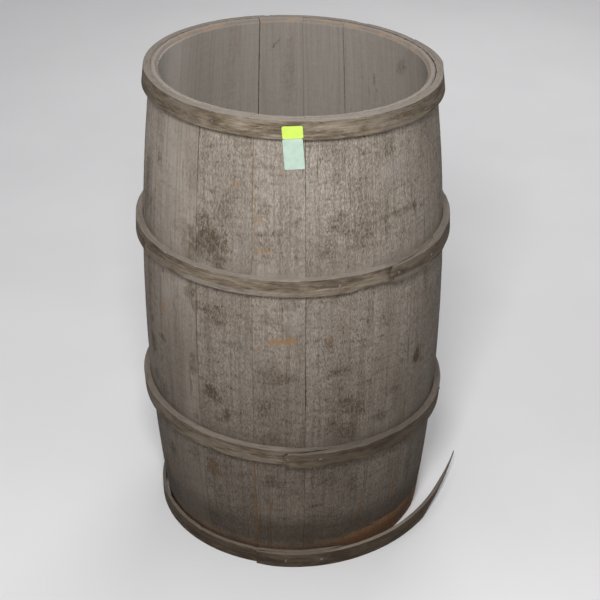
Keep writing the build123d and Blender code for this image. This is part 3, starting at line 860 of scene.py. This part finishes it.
GREY = (0.330, 0.286, 0.240)
PALE_GREY = (0.430, 0.380, 0.325)
BROWN_GREY = (0.225, 0.180, 0.138)
# painted shade of the flecks in the rough relief, and the dark of fine cracks
FLECK_SHADE_AND_CRACK = (0.090, 0.069, 0.050)
# dark for damp stains and joints, and painted shade on the hoops' undersides
DARK_STAIN_AND_SHADE = (0.092, 0.068, 0.045)
BROWN_STAIN = (0.108, 0.078, 0.046)
RUST = (0.400, 0.225, 0.100)
FRESH = (0.430, 0.285, 0.175)
BEVEL = (0.250, 0.215, 0.185)
PALE_DUST = (0.400, 0.375, 0.345)
FOOT = (0.52, 0.29, 0.14)
BRIGHT_FOOT = (0.70, 0.35, 0.15)
# darker towards the bottom, and painted shade at the flanks
LOW_DARKENING_AND_FLANK_SHADE = (0.33, 0.31, 0.29)
DUST = (0.345, 0.302, 0.262)
INSIDE = (0.345, 0.310, 0.275)
# pale wood, and painted light inside the left side
PALE_AND_LIT_INSIDE = (0.60, 0.55, 0.50)
# painted shade in the fur's hollows and painted highlight on its crests
FUR_HOLLOW_SHADE, FUR_CREST_HIGHLIGHT = (0.72, 0.70, 0.68), (1.15, 1.15, 1.15)
OLIVE = (0.190, 0.150, 0.104)
PALE_OLIVE = (0.320, 0.262, 0.195)
DARK_OLIVE = (0.065, 0.048, 0.034)
HOOP_HOLLOW, HOOP_CREST = (0.76, 0.75, 0.73), (1.16, 1.15, 1.13)
# multiplied in for darker wood and painted shade on the hoops
HOOP_SHADE = (0.28, 0.25, 0.22)
WARM_DUST = (0.360, 0.300, 0.245)
DARK_STEEL, BARE_STEEL, NAIL_RUST = (0.055, 0.038, 0.028), (0.30, 0.285, 0.27), (0.16, 0.075, 0.035)
YELLOW, DIM_YELLOW = (0.57, 0.77, 0.100), (0.53, 0.72, 0.090)
GREEN, DIM_GREEN = (0.50, 0.64, 0.54), (0.44, 0.58, 0.485)
WHITE = (1.0, 1.0, 1.0)
FLOOR, PALE_FLOOR = (0.87, 0.865, 0.87), (0.90, 0.895, 0.90)


def make_stave_wood():
    """Weathered rough-sawn wood: a fine furred relief with its shade and highlight painted in, stains, rust,
    dust, painted shade at the flanks, painted light inside the left side and a smoother inside.
    """
    n = Nodes("weathered_stave_wood")
    dark, rust, pale = n.split("marks")
    seam, inner, fresh = n.split("finish")
    dust, level, end = n.split("place")
    to_right, to_front, _ = n.split("side")
    streaks = n.noise((210, 210, 6), 3.0, 0.6)
    broad = n.noise((11, 11, 7), 3.0, 0.6)
    patches = n.noise((30, 30, 110), 3.0, 0.65, 0.4)
    fur = n.noise((620, 620, 230), 2.0, 0.6, 0.35)
    flecks = n.noise((440, 440, 165), 2.5, 0.6, 0.6)
    coarse = n.noise((190, 190, 60), 2.0, 0.6, 0.3)
    banding = n.noise((9, 9, 150), 2.0, 0.6)
    checks = n.noise((75, 75, 2.4), 1.0, 0.5)
    outer = n.fade(inner, 0.6, 0.48)
    rough = n.fade(inner, 0.0, 0.46, 1.0, 0.15)
    dusty = n.times(dust, n.fade(coarse, 0.25, 0.6, 0.65, 1.0), n.fade(broad, 0.35, 0.6, 0.35, 1.0))
    clear = n.times(rough, n.minus(1.0, n.times(dusty, 0.85)))

    # bare weathered wood, outside and inside
    n.colour = n.mix(n.fade(broad, 0.35, 0.68), GREY, PALE_GREY)
    n.over(BROWN_GREY, n.fade(streaks, 0.42, 0.72, 0.0, 0.60))
    smudge = n.times(n.fade(patches, 0.47, 0.70, 0.0, 0.50), n.fade(inner, 0.0, 0.46, 1.0, 0.5))
    n.over(BROWN_GREY, smudge)
    inside = n.mix(n.fade(streaks, 0.35, 0.75, 0.0, 0.35), INSIDE, BROWN_GREY)
    inside = n.mix(n.fade(banding, 0.45, 0.7, 0.0, 0.10), inside, PALE_GREY)
    # painted light: the inside of the left side is painted paler
    inside = n.mix(n.fade(to_right, -0.70, -0.97, 0.0, 0.8), inside, PALE_AND_LIT_INSIDE)
    n.over(inside, n.fade(inner, 0.46, 1.0))

    # fur and flecks, painted as the shade and highlight of the rough relief, and fine drying cracks
    # painted shade in the fur's hollows and painted highlight on its crests
    n.over(n.mix(n.fade(fur, 0.34, 0.64), FUR_HOLLOW_SHADE, FUR_CREST_HIGHLIGHT), clear, "MULTIPLY")
    thick = n.minus(flecks, n.times(n.minus(patches, 0.5), 0.30), n.times(dark, 0.12))
    # painted shade: dark flecks that follow the bumped relief
    n.over(FLECK_SHADE_AND_CRACK, n.times(n.fade(thick, 0.41, 0.33, 0.0, 0.68), clear))
    crack = n.fade(n.calc("ABSOLUTE", n.minus(checks, 0.5)), 0.010, 0.003)
    crack = n.times(crack, n.fade(broad, 0.48, 0.62, 0.0, 0.5), n.fade(inner, 0.6, 0.48, 0.25, 1.0))
    n.over(FLECK_SHADE_AND_CRACK, crack)

    # marks and dust
    patchy = n.fade(coarse, 0.30, 0.62, 1.20, 0.65)
    broken = n.times(patchy, n.fade(fur, 0.35, 0.62, 1.25, 0.65))
    n.over(PALE_DUST, n.times(pale, 0.55, patchy))
    n.over(BROWN_STAIN, n.calc("MINIMUM", n.times(dark, broken), 0.92))
    n.over(RUST, n.calc("MINIMUM", n.times(rust, patchy), 0.90))
    n.over(DUST, n.times(dusty, 0.55))

    # damp and orange at the foot, darker lower down, and painted shade at the flanks
    damp = n.times(n.fade(level, 0.035, 0.06), n.fade(level, 0.14, 0.085), outer)
    n.over(DARK_STAIN_AND_SHADE, n.times(damp, n.fade(broad, 0.3, 0.6, 0.25, 0.65)))
    right_front = n.times(n.fade(to_right, 0.1, 0.7), n.fade(to_front, 0.0, 0.4))
    ragged = n.times(n.minus(patches, 0.5), 0.040)
    lifted = n.minus(n.plus(level, ragged), n.times(right_front, 0.013))
    foot = n.times(
        n.fade(lifted, 0.048, 0.038),
        outer,
        n.fade(coarse, 0.3, 0.65, 1.0, 0.5),
        n.fade(to_front, -0.1, 0.5, 0.35, 1.0),
        n.fade(right_front, 0.0, 0.5, 0.55, 1.0),
    )
    n.over(n.mix(right_front, FOOT, BRIGHT_FOOT), foot)
    # darker towards the bottom
    n.over(LOW_DARKENING_AND_FLANK_SHADE, n.times(n.fade(level, 0.95, 0.05, 0.09, 1.0), outer), "MULTIPLY")
    # painted shade: darker towards the flanks of the front half, more so lower down
    flank_shade = n.times(n.fade(to_front, 0.85, 0.35, 0.0, 0.30), n.fade(level, 0.95, 0.6, 0.35, 1.0))
    flank_shade = n.times(flank_shade, n.fade(to_front, -0.5, 0.1), outer)
    n.over(LOW_DARKENING_AND_FLANK_SHADE, flank_shade, "MULTIPLY")

    # sawn bevel, end grain and joints
    n.over(BEVEL, n.times(fresh, 0.92))
    bare = n.times(fresh, n.fade(patches, 0.48, 0.62, 0.05, 0.60), n.fade(to_front, 0.3, -0.4, 0.25, 1.0))
    n.over(FRESH, bare)
    n.over(PALE_AND_LIT_INSIDE, n.times(pale, fresh, 0.9))
    n.over(DUST, n.times(end, 0.6))
    n.over(DARK_STAIN_AND_SHADE, n.fade(seam, 0.30, 1.0, 0.0, 0.50))

    furred, flecked = n.times(n.fade(fur, 0.30, 0.66), clear), n.times(flecks, clear, 0.8)
    n.bump(n.plus(furred, n.times(streaks, 0.30), flecked), 0.0010, 0.8)
    return n.finish(n.fade(fur, 0.35, 0.6, 0.95, 0.80), 0.22)


def make_hoop_wood(name, pale_share, top_colour, cover_in_shade, greyed):
    """Bent hoop wood: fine grain along the strip, worn pale flakes, dark pores, a dusty top, darker wood and
    painted shade by bearing, and painted shade on the underside.
    """
    n = Nodes(name)
    under, low_band, worn = n.split("marks")
    edge, top, shade = n.split("finish")
    fibres = n.noise((18, 560, 560), 3.0, 0.65)
    broad = n.noise((16, 70, 70), 3.0, 0.6, 0.3)
    pores = n.noise((60, 850, 850), 2.0, 0.6)
    flakes = n.noise((50, 240, 240), 3.0, 0.7, 0.5)
    mottle = n.noise((48, 230, 230), 4.0, 0.72, 0.4)
    n.colour = n.mix(n.fade(fibres, 0.36, 0.70), OLIVE, PALE_OLIVE)
    n.over(DARK_OLIVE, n.fade(broad, 0.45, 0.70, 0.0, 0.60))
    n.over(DARK_OLIVE, n.fade(pores, 0.46, 0.34, 0.0, 0.65))
    n.over(n.mix(n.fade(mottle, 0.38, 0.62), HOOP_HOLLOW, HOOP_CREST), 1.0, "MULTIPLY")
    flake = n.times(n.fade(flakes, 0.58, 0.70), n.fade(worn, 0.0, 0.6, pale_share, 0.8))
    n.over(PALE_GREY, flake)
    n.over(DUST, n.times(low_band, n.fade(flakes, 0.38, 0.55, 0.45, 0.95)))
    n.over(GREY, n.fade(broad, 0.52, 0.38, 0.0, greyed))
    # darker wood and painted shade, by bearing
    n.over(HOOP_SHADE, shade, "MULTIPLY")
    cover = n.times(n.calc("MAXIMUM", edge, top), n.fade(flakes, 0.30, 0.55, 0.55, 0.95))
    # painted shade: the dusty top and edge are dimmed along with the face
    cover = n.times(cover, n.fade(shade, 0.1, 1.0, 1.0, cover_in_shade))
    n.over(top_colour, cover)
    n.over(DARK_OLIVE, n.times(n.fade(pores, 0.44, 0.34, 0.0, 0.4), cover))
    # painted shade on the underside
    n.over(DARK_STAIN_AND_SHADE, n.times(under, 0.8))
    n.bump(n.plus(n.times(fibres, 0.7), n.times(pores, 0.5), n.times(flakes, 0.5)), 0.0009, 0.8)
    return n.finish(n.fade(fibres, 0.3, 0.7, 0.92, 0.75), 0.25)


def make_nail_steel():
    """Rusty wire nails with a little bare metal on the heads."""
    n = Nodes("rusty_nail_steel")
    blotch = n.noise((700, 700, 700), 3.0, 0.65)
    fine = n.noise((2600, 2600, 2600), 2.0, 0.6)
    n.colour = n.mix(n.fade(blotch, 0.42, 0.62), DARK_STEEL, BARE_STEEL)
    n.over(NAIL_RUST, n.fade(fine, 0.45, 0.7, 0.0, 0.6))
    n.bump(fine, 0.0003, 0.6)
    return n.finish(n.fade(blotch, 0.4, 0.65, 0.75, 0.38), 0.5, 0.55)


def make_paper(name, light, dim):
    """Slightly mottled paper."""
    n = Nodes(name)
    fibres = n.noise((900, 900, 900), 3.0, 0.6)
    n.colour = n.mix(n.fade(n.noise((90, 90, 90), 2.0, 0.5), 0.35, 0.7), light, dim)
    n.over(WHITE, n.fade(fibres, 0.5, 0.7, 0.0, 0.12))
    n.bump(fibres, 0.0001, 0.4)
    return n.finish(0.55, 0.35)


def make_floor():
    """Plain pale floor."""
    n = Nodes("pale_floor")
    n.grain = n.tree.nodes.new("ShaderNodeNewGeometry").outputs["Position"]
    cloud = n.noise((3, 3, 3), 3.0, 0.5)
    n.colour = n.mix(n.fade(cloud, 0.3, 0.7), FLOOR, PALE_FLOOR)
    return n.finish(0.8, 0.2)


stave_wood = make_stave_wood()
hoop_wood = make_hoop_wood("weathered_hoop_wood", 0.30, DUST, cover_in_shade=0.40, greyed=0.40)
loose_wood = make_hoop_wood("weathered_loose_hoop_wood", 0.15, WARM_DUST, cover_in_shade=0.85, greyed=0.15)
nail_steel = make_nail_steel()
yellow_paper = make_paper("fluorescent_yellow_paper", YELLOW, DIM_YELLOW)
green_paper = make_paper("pale_green_paper", GREEN, DIM_GREEN)

# ---- build everything ----
seam_angle = FIRST_SEAM
for stave_number, stave_width in enumerate(STAVE_WIDTHS, start=1):
    build_stave(stave_number, seam_angle, stave_width)
    seam_angle += stave_width

for hoop_number, hoop in enumerate(hoops):
    build_hoop(hoop, hoop_number)
    build_nails(f"{hoop.name}_nails", hoop_nail_seats(hoop), NAIL_LENGTH, "barrel", 60 + hoop_number)

long_radius = STRIP_INNER_RADIUS + STRIP_THICKNESS / 2
short_radius = long_radius + STRIP_THICKNESS + STRIP_GAP
long_path = arc_path(STRIP_CENTRE, long_radius, LONG_STRIP_START, LONG_STRIP_END - LONG_STRIP_START)
build_strip("bottom_hoop_long_strip", *long_path, taper_start=0.0, taper_end=0.035, sliver=0.0, number=1)
path, headings = arc_path(STRIP_CENTRE, short_radius, SHORT_STRIP_START, LONG_STRIP_END - SHORT_STRIP_START)
for bend_radius, bend_turn in OPENING_BENDS:
    heading = headings[-1]
    bend_centre = path[-1] + bend_radius * np.array([-math.sin(heading), math.cos(heading)])
    bend = arc_path(bend_centre, bend_radius, math.degrees(heading) - 90, bend_turn)
    path, headings = np.concatenate([path, bend[0][1:]]), np.concatenate([headings, bend[1][1:]])
build_strip(
    "bottom_hoop_short_strip", path, headings, taper_start=0.030, taper_end=0.110, sliver=1.0, number=2
)

strip_seats = []
for nail_degrees in STRIP_NAIL_ANGLES:
    facing = Vector((math.cos(math.radians(nail_degrees)), math.sin(math.radians(nail_degrees)), 0.0))
    reach = short_radius + STRIP_THICKNESS / 2 + NAIL_LIFT - STRIP_NAIL_SET_IN
    strip_seats.append((Vector((*STRIP_CENTRE, STRIP_WIDTH / 2)) + facing * reach, facing))
build_nails("bottom_hoop_nails", strip_seats, STRIP_NAIL_LENGTH, "loose_hoop", 70)

head_edges = (-1.0, *HEAD_JOINTS, 1.0)
for board_number, (board_low, board_high) in enumerate(zip(head_edges, head_edges[1:]), start=1):
    build_board(board_number, board_low + HEAD_JOINT_GAP / 2, board_high - HEAD_JOINT_GAP / 2)

build_paper(
    "price_sticker", hoop_back, STICKER_WIDTH, STICKER_HEIGHT, STICKER_HEIGHT / 2, STICKER_TOP,
    yellow_paper, curl=0.0003,
)
build_paper(
    "paper_label", label_back, LABEL_WIDTH, LABEL_HEIGHT, 0.0, label_top,
    green_paper, curl=0.0006,
)

# ---- floor, light and camera ----
FLOOR_SIZE = 30.0
FLOOR_HEIGHT = -0.0004
floor_signs = ((-1, -1), (1, -1), (1, 1), (-1, 1))
floor_corners = [(x * FLOOR_SIZE, y * FLOOR_SIZE, FLOOR_HEIGHT) for x, y in floor_signs]
floor_mesh = bpy.data.meshes.new("floor")
floor_mesh.from_pydata(floor_corners, [], [(0, 1, 2, 3)])
floor_mesh.materials.append(make_floor())
floor = bpy.data.objects.new("floor", floor_mesh)
bpy.context.scene.collection.objects.link(floor)


def frame_direction(side, elevation):
    """Unit vector from the barrel towards a bearing and an elevation, both in degrees."""
    turn, rise = math.radians(CAMERA_SIDE + side), math.radians(elevation)
    return Vector((math.cos(turn) * math.cos(rise), math.sin(turn) * math.cos(rise), math.sin(rise)))


def add_light(name, side, elevation, distance, size, power, aim_height):
    """A square area light that faces the barrel."""
    data = bpy.data.lights.new(name, "AREA")
    data.shape = "SQUARE"
    data.size = size
    data.energy = power
    light = bpy.data.objects.new(name, data)
    target = Vector((0, 0, aim_height))
    light.location = target + frame_direction(side, elevation) * distance
    light.rotation_euler = (target - light.location).to_track_quat("-Z", "Y").to_euler()
    bpy.context.scene.collection.objects.link(light)


add_light("key", side=-4, elevation=38, distance=1.90, size=0.4, power=27, aim_height=0.50)
add_light("fill_left", side=-75, elevation=35, distance=2.6, size=1.5, power=3, aim_height=0.45)
add_light("fill_back", side=165, elevation=38, distance=2.8, size=1.6, power=24, aim_height=0.45)

world = bpy.data.worlds.new("studio")
bpy.context.scene.world = world
world.use_nodes = True
background = world.node_tree.nodes["Background"]
background.inputs["Color"].default_value = (0.80, 0.80, 0.82, 1.0)
background.inputs["Strength"].default_value = 0.36
bpy.context.scene.view_settings.view_transform = "Standard"

LENS = 85.46
SENSOR = 36.0
CAMERA_DISTANCE = 2.1895
CAMERA_AIM = 0.3413  # height of the point on the barrel's axis that the distance is from
CAMERA_ELEVATION = 30.09
CAMERA_PAN = math.radians(0.284)
CAMERA_ROLL = math.radians(0.028)
camera_data = bpy.data.cameras.new("camera")
camera_data.lens = LENS
camera_data.sensor_width = SENSOR
camera = bpy.data.objects.new("camera", camera_data)
back = frame_direction(0, CAMERA_ELEVATION)
forward = -back
right = forward.cross(Vector((0, 0, 1))).normalized()
up = right.cross(forward)
aim = forward * math.cos(CAMERA_PAN) + right * math.sin(CAMERA_PAN)
right = right * math.cos(CAMERA_PAN) - forward * math.sin(CAMERA_PAN)
level_right = right * math.cos(CAMERA_ROLL) + up * math.sin(CAMERA_ROLL)
level_up = up * math.cos(CAMERA_ROLL) - right * math.sin(CAMERA_ROLL)
place = Matrix.Translation(Vector((0, 0, CAMERA_AIM)) + back * CAMERA_DISTANCE)
camera.matrix_world = place @ Matrix((level_right, level_up, -aim)).transposed().to_4x4()
bpy.context.scene.collection.objects.link(camera)
bpy.context.scene.camera = camera
